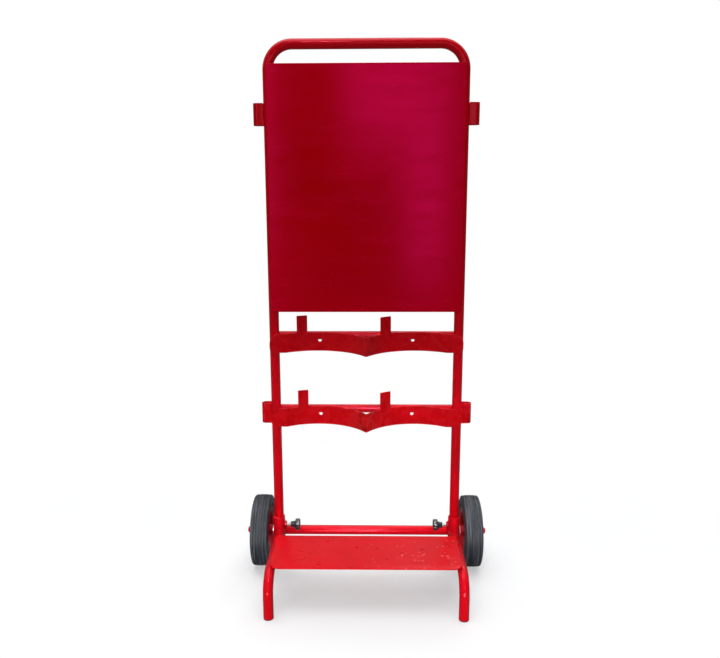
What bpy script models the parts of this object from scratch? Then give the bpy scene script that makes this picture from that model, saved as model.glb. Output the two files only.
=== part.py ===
"""Fire-point hand truck: a socketed wheeled base that carries a tall tube frame with a header
board and two twin-cylinder cradles. Metres, +Z up, the front faces -Y, the floor is Z = 0."""

import math

import bmesh
import bpy
from mathutils import Matrix, Vector

# Clearances
contact_gap = 0.0003
running_gap = 0.0002

# Main tube frame
overall_height = 1.400
frame_width = 0.508
tube_diameter = 0.0254
tube_wall = 0.002
handle_bend = 0.060
tube_sides = 12

# Header board
board_side_inset = 0.0095
board_height_share = 0.4375
board_drop = 0.059
board_thickness = 0.002
board_corner = 0.004

# Cradles and their crossbars
board_to_tabs = 0.013
cradle_spacing = 0.203
strap_height = 0.050
strap_thickness = 0.003
strap_end_inset = 0.001
strap_spare = 0.010
strap_top_corner = 0.026
strap_bottom_corner = 0.012
bay_share = 0.52839
cusp_reach = 0.0635
tab_height = 0.0455
tab_width = 0.027
tab_shares = (-1.3255, 0.3961)
strap_hole_diameter = 0.009
strap_hole_inset = 0.005
strap_hole_rise = 0.0290
crossbar_diameter = 0.022
crossbar_wall = 0.002

# Side loops
loop_height = 0.054
loop_thickness = 0.003
loop_reach = 0.026
loop_bend = 0.0105
upper_loop_drop = 0.2045
lower_loop_rise = 0.008

# Wheels and axle
wheel_diameter = 0.194
tyre_width = 0.050
wheel_offset = 0.0497
rim_seat_share = 0.56545
rim_sheet = 0.0015
hub_length = 0.056
hub_diameter = 0.0286
hub_wall = 0.003
bush_length = 0.018
axle_tube_diameter = 0.0254
axle_rod_diameter = 0.016
washer_thickness = 0.0018
washer_diameter = 0.026
axle_cap_diameter = 0.0195
axle_cap_length = 0.012
axle_cap_wall = 0.0036
rivet_circle_share = 0.53704
rivet_count = 4
rivet_diameter = 0.006
rivet_head_diameter = 0.011
rivet_head_height = 0.0028

# Half rim past its flat: radius from the tyre's seat, and distance from the wheel's middle plane
rim_flat_edge = -0.012
rim_dish = ((-0.005, 0.0060), (0, 0.0175), (0.0035, 0.0202), (0.0080, 0.0212))
# Tyre: distance in from the tread and from the side, then from the seat and from the side
tyre_shoulder = ((0, 0.0110), (0.0020, 0.0035), (0.0090, 0.0003), (0.0220, 0))
tyre_bead = ((0.0105, 0.0015), (0.0095, 0.0055), (0.0018, 0.0095))

# Sides of round pieces
tyre_sides = 32
rim_sides = 24
rivet_sides = 8
round_sides = 20

# Base
sleeve_wall = 0.003
sleeve_length = 0.065
sleeve_drop = 0.009
sleeve_lip = 0.003
sleeve_drain_diameter = 0.012
rail_rise = 0.009
foot_reach = 0.247
foot_bend = 0.050
foot_cap_lip = 0.003
foot_cap_depth = 0.015
foot_cap_edge = 0.0008
tray_side_gap = 0.0013
tray_front = 0.224
tray_back = 0.054
tray_thickness = 0.003
tray_corner = 0.025
tray_back_corner = 0.006

# Clamping knobs
clamp_rise = 0.040
boss_diameter = 0.018
boss_length = 0.005
stud_diameter = 0.008
knob_diameter = 0.031
knob_head = 0.0125
knob_neck_diameter = 0.018
knob_neck = 0.013
knob_floor = 0.003
stud_exposed = 0.0108
knob_edge = 0.0015

# Derived places
tube_radius = tube_diameter / 2
upright_x = frame_width / 2 - tube_radius
board_width = frame_width - 2 * board_side_inset
board_height = overall_height * board_height_share
board_bottom = overall_height - board_drop - board_height
upper_cradle_bottom = board_bottom - board_to_tabs - tab_height - strap_height
lower_cradle_bottom = upper_cradle_bottom - cradle_spacing
strap_half_length = frame_width / 2 - strap_end_inset
bay_centre = upright_x * bay_share
tab_centres = tuple(bay_centre * share for share in tab_shares)
strap_hole_centre = bay_centre - strap_hole_inset
crossbar_rise = strap_height - crossbar_diameter / 2
upper_loop_bottom = overall_height - upper_loop_drop
lower_loop_bottom = lower_cradle_bottom + lower_loop_rise
wheel_centre = upright_x + wheel_offset
tray_width = 2 * (upright_x - tray_side_gap)
axle_height = wheel_diameter / 2
rim_seat_diameter = wheel_diameter * rim_seat_share
rivet_circle = rim_seat_diameter * rivet_circle_share
sleeve_diameter = tube_diameter + 2 * (contact_gap + sleeve_wall)
sleeve_bottom = axle_height - sleeve_drop
sleeve_top = sleeve_bottom + sleeve_length
clamp_height = sleeve_bottom + clamp_rise
rail_height = axle_height + rail_rise
axle_y = sleeve_diameter / 2 + contact_gap + axle_tube_diameter / 2
back_reach = axle_y + wheel_diameter / 2
front_reach = foot_reach + tube_radius
frame_y = (front_reach - back_reach) / 2
upright_bottom = sleeve_bottom + sleeve_lip + contact_gap
sleeve_bore = tube_diameter + 2 * contact_gap
pad_y = -tube_radius - contact_gap - strap_thickness / 2
crossbar_y = tube_radius + contact_gap + crossbar_diameter / 2
hub_inner_face = wheel_centre - hub_length / 2
hub_outer_face = wheel_centre + hub_length / 2
axle_tube_half = hub_inner_face - washer_thickness - 2 * contact_gap
axle_cap_face = hub_outer_face + washer_thickness + 2 * contact_gap
axle_rod_half = axle_cap_face + axle_cap_length - axle_cap_wall - contact_gap
tray_bottom = rail_height + tube_radius + contact_gap
boss_face = upright_x - sleeve_diameter / 2 - boss_length
knob_length = knob_head + knob_neck
knob_back = boss_face - stud_exposed - knob_length
stud_tip = upright_x - tube_radius - contact_gap

# Colour, roughness and metallic value of each finish
finishes = {
    "red_powder_coat": ((0.58, 0.004, 0.012, 1), 0.32, 0.0),
    "tyre_rubber": ((0.020, 0.021, 0.023, 1), 0.72, 0.0),
    "black_plastic": ((0.012, 0.012, 0.013, 1), 0.42, 0.0),
    "foot_plastic": ((0.10, 0.004, 0.008, 1), 0.55, 0.0),
    "zinc_steel": ((0.62, 0.63, 0.65, 1), 0.30, 1.0),
    "white_nylon": ((0.78, 0.77, 0.72, 1), 0.50, 0.0),
}

part_collection = None
cutter_collection = None
part_origin = None


def clear_scene():
    for item in list(bpy.data.objects):
        bpy.data.objects.remove(item, do_unlink=True)


def add_collection(name):
    collection = bpy.data.collections.new(name)
    bpy.context.scene.collection.children.link(collection)
    return collection


def add_empty(name, location, parent=None):
    empty = bpy.data.objects.new(name, None)
    empty.location = location
    empty.parent = parent
    part_collection.objects.link(empty)
    return empty


def coat(item, finish):
    """Give an object a material of its own in one of the finishes."""
    colour, roughness, metallic = finishes[finish]
    material = bpy.data.materials.new(f"{item.name}_{finish}")
    material.use_nodes = True
    shader = material.node_tree.nodes["Principled BSDF"]
    shader.inputs["Base Color"].default_value = colour
    shader.inputs["Roughness"].default_value = roughness
    shader.inputs["Metallic"].default_value = metallic
    item.data.materials.clear()
    item.data.materials.append(material)


def add_part(name, data, finish, parent, location=(0, 0, 0), rotation=(0, 0, 0)):
    item = bpy.data.objects.new(name, data)
    item.location = location
    item.rotation_euler = rotation
    item.parent = parent
    part_collection.objects.link(item)
    coat(item, finish)
    return item


def smooth(mesh, angle=40):
    mesh.shade_smooth()
    mesh.set_sharp_from_angle(angle=math.radians(angle))


def outward(side):
    """Turn that points a piece's own +Z away from the middle of the truck."""
    return (0, side * math.pi / 2, 0)


def bent_path(corners, bend, steps=6):
    """Points along straight runs joined by arcs of one centreline radius."""
    corners = [Vector(corner) for corner in corners]
    points = [corners[0]]
    for before, corner, after in zip(corners, corners[1:], corners[2:]):
        arrive = (corner - before).normalized()
        leave = (after - corner).normalized()
        turn = arrive.angle(leave)
        inset = bend * math.tan(turn / 2)
        centre = corner + (leave - arrive).normalized() * bend / math.cos(turn / 2)
        start = corner - arrive * inset - centre
        axis = arrive.cross(leave).normalized()
        for step in range(steps + 1):
            points.append(centre + Matrix.Rotation(turn * step / steps, 3, axis) @ start)
    points.append(corners[-1])
    return points


def poly_curve(name, points, closed=False, flat=False):
    curve = bpy.data.curves.new(name, "CURVE")
    curve.dimensions = "2D" if flat else "3D"
    spline = curve.splines.new("POLY")
    spline.points.add(len(points) - 1)
    for point, place in zip(spline.points, points):
        point.co = (*place, 1) if len(place) == 3 else (*place, 0, 1)
    spline.use_cyclic_u = closed
    return curve


def evaluated_mesh(item):
    """The object's evaluated shape as a welded mesh; the object itself is removed."""
    depsgraph = bpy.context.evaluated_depsgraph_get()
    mesh = bpy.data.meshes.new_from_object(item.evaluated_get(depsgraph))
    old = item.data
    bpy.data.objects.remove(item, do_unlink=True)
    if isinstance(old, bpy.types.Curve):
        bpy.data.curves.remove(old)
    work = bmesh.new()
    work.from_mesh(mesh)
    bmesh.ops.remove_doubles(work, verts=work.verts, dist=1e-6)
    bmesh.ops.recalc_face_normals(work, faces=work.faces)
    work.to_mesh(mesh)
    work.free()
    return mesh


def as_mesh(data, wall=0.0, offset=0.0):
    """Turn curve data into a mesh, with a wall when it is an open surface."""
    item = bpy.data.objects.new(data.name, data)
    part_collection.objects.link(item)
    if wall:
        solidify = item.modifiers.new("wall", "SOLIDIFY")
        solidify.thickness = wall
        solidify.offset = offset
        solidify.use_even_offset = True
    return evaluated_mesh(item)


def tube_mesh(name, points, diameter, wall, sides=tube_sides):
    """Hollow round tube along the points, open at both ends."""
    curve = poly_curve(name, points)
    curve.bevel_depth = diameter / 2
    curve.bevel_resolution = sides // 2 - 2
    curve.use_fill_caps = False
    mesh = as_mesh(curve, wall, -1)
    smooth(mesh)
    return mesh


def ribbon_mesh(name, plan, bottom, top, thickness):
    """Upright strip that follows a plan line, centred on it."""
    curve = poly_curve(name, [(x, y, 0) for x, y in plan])
    curve.extrude = (top - bottom) / 2
    mesh = as_mesh(curve, thickness, 0)
    mesh.transform(Matrix.Translation((0, 0, (top + bottom) / 2)))
    return mesh


def plate_mesh(name, outline, thickness):
    """Flat plate of an outline in X and Y, centred on Z = 0."""
    curve = poly_curve(name, outline, closed=True, flat=True)
    curve.fill_mode = "BOTH"
    curve.extrude = thickness / 2
    return as_mesh(curve)


def rounded_outline(corners, steps=6):
    """Closed outline through corners given as (x, y, corner radius)."""
    outline = []
    count = len(corners)
    for index, (x, y, radius) in enumerate(corners):
        corner = Vector((x, y))
        if not radius:
            outline.append(corner)
            continue
        back = (Vector(corners[index - 1][:2]) - corner).normalized()
        ahead = (Vector(corners[(index + 1) % count][:2]) - corner).normalized()
        centre = corner + (back + ahead) * radius
        for step in range(steps + 1):
            share = step / steps * math.pi / 2
            outline.append(centre - ahead * radius * math.cos(share) - back * radius * math.sin(share))
    return [tuple(point) for point in outline]


def cylinder_mesh(name, radius, low, high, sides=round_sides):
    mesh = bpy.data.meshes.new(name)
    work = bmesh.new()
    bmesh.ops.create_cone(
        work,
        cap_ends=True,
        segments=sides,
        radius1=radius,
        radius2=radius,
        depth=high - low,
        matrix=Matrix.Translation((0, 0, (low + high) / 2)),
    )
    work.to_mesh(mesh)
    work.free()
    smooth(mesh)
    return mesh


def profile_mesh(name, profile, closed):
    """Edge loop in the XZ plane for a Screw modifier, as (radius, height) points."""
    mesh = bpy.data.meshes.new(name)
    work = bmesh.new()
    verts = [work.verts.new((radius, 0, height)) for radius, height in profile]
    for first, second in zip(verts, verts[1:]):
        work.edges.new((first, second))
    if closed:
        work.edges.new((verts[-1], verts[0]))
    work.to_mesh(mesh)
    work.free()
    return mesh


def add_screw(item, sides):
    screw = item.modifiers.new("turn", "SCREW")
    screw.axis = "Z"
    screw.steps = sides
    screw.render_steps = sides
    screw.use_merge_vertices = True
    screw.merge_threshold = 0.00001
    screw.use_smooth_shade = True
    return screw


def turned_mesh(name, profile, closed=True, sides=round_sides, sheet=0.0):
    """Turned shape of an outline, or of an open line that Solidify gives a sheet thickness."""
    item = bpy.data.objects.new(name, profile_mesh(name, profile, closed))
    part_collection.objects.link(item)
    add_screw(item, sides)
    if sheet:
        solidify = item.modifiers.new("sheet", "SOLIDIFY")
        solidify.thickness = sheet
        solidify.offset = 0
    mesh = evaluated_mesh(item)
    smooth(mesh)
    return mesh


def ring_profile(inner, outer, low, high):
    return [(outer, high), (outer, low), (inner, low), (inner, high)]


def add_cutter(name, mesh, parent, location=(0, 0, 0), rotation=(0, 0, 0)):
    cutter = bpy.data.objects.new(name, mesh)
    cutter.location = location
    cutter.rotation_euler = rotation
    cutter.parent = parent
    cutter.hide_render = True
    cutter.display_type = "WIRE"
    cutter_collection.objects.link(cutter)
    return cutter


def cut(item, cutter, operation="DIFFERENCE"):
    boolean = item.modifiers.new(cutter.name, "BOOLEAN")
    boolean.operation = operation
    boolean.object = cutter
    boolean.solver = "EXACT"


def add_upright_frame():
    top = overall_height - tube_radius
    corners = [
        (-upright_x, 0, upright_bottom),
        (-upright_x, 0, top),
        (upright_x, 0, top),
        (upright_x, 0, upright_bottom),
    ]
    mesh = tube_mesh("upright_frame", bent_path(corners, handle_bend), tube_diameter, tube_wall)
    add_part("upright_frame", mesh, "red_powder_coat", part_origin)


def add_header_board():
    half = board_width / 2
    outline = rounded_outline(
        [
            (-half, 0, board_corner),
            (half, 0, board_corner),
            (half, board_height, board_corner),
            (-half, board_height, board_corner),
        ],
        steps=3,
    )
    mesh = plate_mesh("header_board", outline, board_thickness)
    place = (0, -tube_radius - contact_gap - board_thickness / 2, board_bottom)
    add_part("header_board", mesh, "red_powder_coat", part_origin, place, (math.pi / 2, 0, 0))


def cradle_plan():
    """Centreline of a cradle strap: two hollows that meet in a forward cusp, between flat pads."""
    deepest = crossbar_y - crossbar_diameter / 2 - contact_gap - strap_thickness / 2
    cusp = -cusp_reach + strap_thickness / 2
    sagitta = deepest - cusp
    radius = (bay_centre**2 + sagitta**2) / (2 * sagitta)
    centre_y = deepest - radius
    cusp_angle = math.atan2(cusp - centre_y, -bay_centre)
    pad_angle = math.asin((pad_y - centre_y) / radius)
    steps = 14
    half = []
    for step in range(steps + 1):
        angle = cusp_angle + (pad_angle - cusp_angle) * step / steps
        half.append((bay_centre + radius * math.cos(angle), centre_y + radius * math.sin(angle)))
    half[0] = (0.0, cusp)
    half.append((strap_half_length + strap_spare, pad_y))
    return [(-x, y) for x, y in reversed(half[1:])] + half


def cradle_outline():
    """Front view of a cradle strap with its two upright tabs, bottom edge at height 0."""
    end = strap_half_length
    corners = [(-end, 0, strap_bottom_corner), (end, 0, strap_bottom_corner)]
    corners.append((end, strap_height, strap_top_corner))
    for centre in reversed(tab_centres):
        right = centre + tab_width / 2
        left = centre - tab_width / 2
        top = strap_height + tab_height
        corners += [(right, strap_height, 0), (right, top, 0), (left, top, 0), (left, strap_height, 0)]
    corners.append((-end, strap_height, strap_top_corner))
    return rounded_outline(corners, steps=5)


def add_cradle(name, bottom):
    top = strap_height + tab_height + strap_spare
    mesh = ribbon_mesh(name, cradle_plan(), -strap_spare, top, strap_thickness)
    strap = add_part(name, mesh, "red_powder_coat", part_origin, (0, 0, bottom))
    outline = plate_mesh(name + "_outline", cradle_outline(), frame_width)
    turn = (math.pi / 2, 0, 0)
    shape = add_cutter(name + "_shape", outline, part_origin, (0, 0, bottom), turn)
    cut(strap, shape, "INTERSECT")
    for side, word in ((-1, "left"), (1, "right")):
        hole = cylinder_mesh(name + "_hole", strap_hole_diameter / 2, -frame_width, frame_width)
        place = (side * strap_hole_centre, 0, bottom + strap_hole_rise)
        cut(strap, add_cutter(f"{name}_{word}_hole", hole, part_origin, place, turn))
    bar_z = bottom + crossbar_rise
    reach = upright_x - contact_gap
    bar = tube_mesh(
        name.replace("cradle", "crossbar"),
        [(-reach, 0, 0), (reach, 0, 0)],
        crossbar_diameter,
        crossbar_wall,
    )
    place = (0, crossbar_y, bar_z)
    add_part(name.replace("cradle", "crossbar"), bar, "red_powder_coat", part_origin, place)


def add_side_loop(name, side, bottom):
    """Strap curled into a loop: along the upright's back, round its outer end and in again."""
    back_y = tube_radius + contact_gap + loop_thickness / 2
    front_y = back_y - 2 * loop_bend
    bend_x = frame_width / 2 + loop_reach - loop_thickness / 2 - loop_bend
    inner_edge = front_y + loop_thickness / 2
    front_x = upright_x + math.sqrt(tube_radius**2 - inner_edge**2) + 2 * contact_gap
    plan = [(upright_x + contact_gap, back_y)]
    steps = 10
    for step in range(steps + 1):
        angle = math.pi / 2 - math.pi * step / steps
        plan.append((bend_x + loop_bend * math.cos(angle), back_y - loop_bend + loop_bend * math.sin(angle)))
    plan.append((front_x, front_y))
    plan = [(side * x, y) for x, y in plan]
    mesh = ribbon_mesh(name, plan, bottom, bottom + loop_height, loop_thickness)
    smooth(mesh)
    add_part(name, mesh, "red_powder_coat", part_origin)


def add_sleeve(word, side):
    """Socket for an upright, with a drained lip at the bottom and a bore for the clamping stud."""
    bore = sleeve_bore / 2
    drain = sleeve_drain_diameter / 2
    lip_top = sleeve_bottom + sleeve_lip
    profile = [
        (sleeve_diameter / 2, sleeve_top),
        (sleeve_diameter / 2, sleeve_bottom),
        (drain, sleeve_bottom),
        (drain, lip_top),
        (bore, lip_top),
        (bore, sleeve_top),
    ]
    name = word + "_sleeve"
    mesh = turned_mesh(name, profile)
    sleeve = add_part(name, mesh, "red_powder_coat", part_origin, (side * upright_x, 0, 0))
    hole = cylinder_mesh(name + "_stud_hole", stud_diameter / 2 + contact_gap, 0, sleeve_diameter / 2)
    place = (side * boss_face, 0, clamp_height)
    stud_hole = add_cutter(name + "_stud_hole", hole, part_origin, place, outward(side))
    cut(sleeve, stud_hole)


def add_clamp_boss(word, side):
    name = word + "_clamp_boss"
    inner = stud_diameter / 2 + contact_gap
    profile = ring_profile(inner, boss_diameter / 2, 0, boss_length + sleeve_diameter / 4)
    mesh = turned_mesh(name, profile)
    place = (side * boss_face, 0, clamp_height)
    boss = add_part(name, mesh, "red_powder_coat", part_origin, place, outward(side))
    saddle = cylinder_mesh(name + "_saddle", sleeve_diameter / 2 + contact_gap, -boss_diameter, boss_diameter)
    cut(boss, add_cutter(name + "_saddle", saddle, part_origin, (side * upright_x, 0, clamp_height)))


def add_side_rail(word, side):
    """Tube from the sleeve forward under the tray, bent down into a front foot."""
    name = word + "_side_rail"
    corners = [
        (0, -sleeve_diameter / 4, rail_height),
        (0, -foot_reach, rail_height),
        (0, -foot_reach, foot_cap_lip + contact_gap),
    ]
    mesh = tube_mesh(name, bent_path(corners, foot_bend), tube_diameter, tube_wall)
    rail = add_part(name, mesh, "red_powder_coat", part_origin, (side * upright_x, 0, 0))
    mouth = cylinder_mesh(name + "_mouth", sleeve_diameter / 2 + contact_gap, -tube_diameter, tube_diameter)
    cut(rail, add_cutter(name + "_mouth", mouth, part_origin, (side * upright_x, 0, rail_height)))


def add_foot_cap(word, side):
    stem = tube_radius - tube_wall - contact_gap
    edge = foot_cap_edge
    profile = [
        (0, foot_cap_depth),
        (stem - edge, foot_cap_depth),
        (stem, foot_cap_depth - edge),
        (stem, foot_cap_lip),
        (tube_radius, foot_cap_lip),
        (tube_radius, edge),
        (tube_radius - edge, 0),
        (0, 0),
    ]
    name = word + "_foot_cap"
    mesh = turned_mesh(name, profile, closed=False, sides=tube_sides)
    add_part(name, mesh, "foot_plastic", part_origin, (side * upright_x, -foot_reach, 0))


def add_tray():
    half = tray_width / 2
    outline = rounded_outline(
        [
            (-half, -tray_front, tray_corner),
            (half, -tray_front, tray_corner),
            (half, -tray_back, tray_back_corner),
            (-half, -tray_back, tray_back_corner),
        ]
    )
    mesh = plate_mesh("tray", outline, tray_thickness)
    add_part("tray", mesh, "red_powder_coat", part_origin, (0, 0, tray_bottom + tray_thickness / 2))


def add_axle(axle):
    """Fixed axle: a tube behind the sleeves, the rod through it, and each end's washers and cap."""
    along = (0, math.pi / 2, 0)
    rod_radius = axle_rod_diameter / 2
    bore = rod_radius + contact_gap
    profile = ring_profile(bore, axle_tube_diameter / 2, -axle_tube_half, axle_tube_half)
    add_part("axle_tube", turned_mesh("axle_tube", profile), "red_powder_coat", axle, rotation=along)
    rod = cylinder_mesh("axle_rod", rod_radius, -axle_rod_half, axle_rod_half)
    add_part("axle_rod", rod, "zinc_steel", axle, rotation=along)
    inner_place = axle_tube_half + contact_gap
    outer_place = hub_outer_face + contact_gap
    for side, word in ((-1, "left"), (1, "right")):
        for place, level in ((inner_place, "inner"), (outer_place, "outer")):
            name = f"{word}_{level}_washer"
            ring = ring_profile(bore, washer_diameter / 2, 0, washer_thickness)
            mesh = turned_mesh(name, ring)
            add_part(name, mesh, "zinc_steel", axle, (side * place, 0, 0), outward(side))
        name = word + "_axle_cap"
        radius = axle_cap_diameter / 2
        shoulder = axle_cap_length * 0.6
        inside = axle_cap_length - axle_cap_wall
        cap = [
            (0, axle_cap_length),
            (radius * 0.5, axle_cap_length * 0.95),
            (radius * 0.85, axle_cap_length * 0.82),
            (radius, shoulder),
            (radius, 0),
            (bore, 0),
            (bore, inside),
            (0, inside),
        ]
        mesh = turned_mesh(name, cap, closed=False)
        add_part(name, mesh, "red_powder_coat", axle, (side * axle_cap_face, 0, 0), outward(side))


def rim_profile():
    """Half rim as (radius, distance from the wheel's middle plane), hub hole to flange edge."""
    seat = rim_seat_diameter / 2
    sheet = rim_sheet / 2 + contact_gap
    return [
        (hub_diameter / 2 + contact_gap, sheet),
        (seat + rim_flat_edge, sheet),
        *((seat + rise, height) for rise, height in rim_dish),
    ]


def tyre_profile():
    """Solid tyre's section, down its tread side and back up the bore."""
    outer = wheel_diameter / 2
    seat = rim_seat_diameter / 2
    half = tyre_width / 2
    side = [(outer - depth, half - inset) for depth, inset in tyre_shoulder]
    side += [(seat + rise, half - inset) for rise, inset in tyre_bead]
    return [(r, -z) for r, z in side] + [(r, z) for r, z in reversed(side)]


def add_wheel(word, side, wheel):
    turn = outward(side)
    tyre = turned_mesh(word + "_tyre", tyre_profile(), sides=tyre_sides)
    add_part(word + "_tyre", tyre, "tyre_rubber", wheel, rotation=turn)
    hub_bore = hub_diameter / 2 - hub_wall
    hub_ring = ring_profile(hub_bore, hub_diameter / 2, -hub_length / 2, hub_length / 2)
    hub = turned_mesh(word + "_hub_tube", hub_ring)
    add_part(word + "_hub_tube", hub, "red_powder_coat", wheel, rotation=turn)
    bush_ring = ring_profile(
        axle_rod_diameter / 2 + running_gap,
        hub_bore - contact_gap,
        hub_length / 2 - bush_length,
        hub_length / 2 - contact_gap,
    )
    for level, facing in (("outer", 1), ("inner", -1)):
        bush = turned_mesh(f"{word}_{level}_bush", bush_ring)
        add_part(f"{word}_{level}_bush", bush, "white_nylon", wheel, rotation=outward(side * facing))
        line = list(reversed(rim_profile()))
        name = f"{word}_{level}_rim"
        rim_mesh = turned_mesh(name, line, closed=False, sides=rim_sides, sheet=rim_sheet)
        rim = add_part(name, rim_mesh, "red_powder_coat", wheel, rotation=outward(side * facing))
        for index in range(rivet_count):
            angle = rivet_angle(index)
            mesh = cylinder_mesh("rivet_hole", rivet_diameter / 2 + contact_gap, -hub_diameter, hub_diameter, rivet_sides)
            place = (0, rivet_circle / 2 * math.cos(angle), rivet_circle / 2 * math.sin(angle))
            cut(rim, add_cutter(f"{name}_hole_{index + 1}", mesh, wheel, place, turn))
    for index in range(rivet_count):
        angle = rivet_angle(index)
        place = (0, rivet_circle / 2 * math.cos(angle), rivet_circle / 2 * math.sin(angle))
        name = f"{word}_rim_rivet_{index + 1}"
        add_part(name, turned_mesh(name, rivet_profile(), False, rivet_sides), "zinc_steel", wheel, place, turn)


def rivet_angle(index):
    return math.radians(45) + 2 * math.pi * index / rivet_count


def rivet_profile():
    """Rivet with two domed heads that grip both rim sheets."""
    grip = rim_sheet + 2 * contact_gap
    head = rivet_head_diameter / 2
    shank = rivet_diameter / 2
    crown = grip + rivet_head_height
    top = [
        (0, crown),
        (head * 0.65, crown - rivet_head_height * 0.25),
        (head, grip),
        (shank, grip),
    ]
    return top + [(r, -z) for r, z in reversed(top)]


def add_clamp(word, side, clamp):
    """Clamping screw: a threaded stud moulded into a round-headed knob."""
    head = knob_diameter / 2
    neck = knob_neck_diameter / 2
    bore = stud_diameter / 2 + running_gap
    edge = knob_edge
    profile = [
        (0, knob_floor),
        (bore, knob_floor),
        (bore, knob_length),
        (neck - edge / 2, knob_length),
        (neck, knob_length - edge),
        (neck + edge / 2, knob_head + edge),
        (head - 2 * edge, knob_head),
        (head, knob_head - edge),
        (head, edge),
        (head - edge, 0),
        (0, 0),
    ]
    knob = turned_mesh(word + "_clamp_knob", profile, closed=False)
    add_part(word + "_clamp_knob", knob, "black_plastic", clamp, rotation=outward(side))
    stud = cylinder_mesh(word + "_clamp_stud", stud_diameter / 2, knob_floor + contact_gap, stud_tip - knob_back)
    add_part(word + "_clamp_stud", stud, "zinc_steel", clamp, rotation=outward(side))


def main():
    global part_collection, cutter_collection, part_origin
    clear_scene()
    part_collection = add_collection("hand_truck")
    cutter_collection = add_collection("cutters")
    part_origin = add_empty("upright_plane", (0, frame_y, 0))
    add_upright_frame()
    add_header_board()
    add_cradle("upper_cradle", upper_cradle_bottom)
    add_cradle("lower_cradle", lower_cradle_bottom)
    axle = add_empty("axle_line", (0, axle_y, axle_height), part_origin)
    add_axle(axle)
    add_tray()
    for side, word in ((-1, "left"), (1, "right")):
        add_side_loop(word + "_upper_side_loop", side, upper_loop_bottom)
        add_side_loop(word + "_lower_side_loop", side, lower_loop_bottom)
        add_sleeve(word, side)
        add_clamp_boss(word, side)
        add_side_rail(word, side)
        add_foot_cap(word, side)
        wheel = add_empty(word + "_wheel_centre", (side * wheel_centre, 0, 0), axle)
        add_wheel(word, side, wheel)
        clamp = add_empty(word + "_clamp_line", (side * knob_back, 0, clamp_height), part_origin)
        add_clamp(word, side, clamp)


main()
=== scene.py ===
import bmesh
import bpy
import math
from mathutils import Matrix, Vector


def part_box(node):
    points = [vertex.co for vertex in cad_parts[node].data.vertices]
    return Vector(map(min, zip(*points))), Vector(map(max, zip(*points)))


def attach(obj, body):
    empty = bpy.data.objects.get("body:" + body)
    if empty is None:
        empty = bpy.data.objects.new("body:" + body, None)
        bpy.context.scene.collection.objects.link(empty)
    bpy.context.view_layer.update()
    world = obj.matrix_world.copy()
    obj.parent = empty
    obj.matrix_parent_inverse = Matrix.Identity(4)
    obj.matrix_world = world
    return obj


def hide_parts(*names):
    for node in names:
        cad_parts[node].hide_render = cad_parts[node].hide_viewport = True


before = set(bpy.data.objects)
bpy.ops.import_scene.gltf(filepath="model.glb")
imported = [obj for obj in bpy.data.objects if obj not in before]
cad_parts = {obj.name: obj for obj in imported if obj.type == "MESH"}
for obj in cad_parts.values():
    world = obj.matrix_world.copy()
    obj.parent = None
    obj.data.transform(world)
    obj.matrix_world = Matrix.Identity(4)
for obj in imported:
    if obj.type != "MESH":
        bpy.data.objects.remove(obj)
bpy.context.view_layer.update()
print("frame loaded:", len(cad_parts), "nodes")


# ---- shared shader and geometry graph helpers

class Wire:
    # a node socket that can be used in sums; the result is another wire
    def __init__(self, graph, socket):
        self.graph = graph
        self.socket = socket

    def combine(self, operation, first, second):
        return self.graph.node("ShaderNodeMath", {"operation": operation}, {0: first, 1: second})

    def __add__(self, other):
        return self.combine("ADD", self, other)

    def __radd__(self, other):
        return self.combine("ADD", other, self)

    def __sub__(self, other):
        return self.combine("SUBTRACT", self, other)

    def __rsub__(self, other):
        return self.combine("SUBTRACT", other, self)

    def __mul__(self, other):
        return self.combine("MULTIPLY", self, other)

    def __rmul__(self, other):
        return self.combine("MULTIPLY", other, self)


class Graph:
    # builds nodes in one tree: settings first, then the sockets
    def __init__(self, tree):
        self.tree = tree

    def feed(self, socket, value):
        if isinstance(value, Wire):
            self.tree.links.new(value.socket, socket)
        else:
            socket.default_value = value

    def node(self, kind, settings=None, sockets=None, out=0):
        node = self.tree.nodes.new(kind)
        for name, value in (settings or {}).items():
            setattr(node, name, value)
        for name, value in (sockets or {}).items():
            self.feed(node.inputs[name], value)
        return Wire(self, node.outputs[out])


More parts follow.
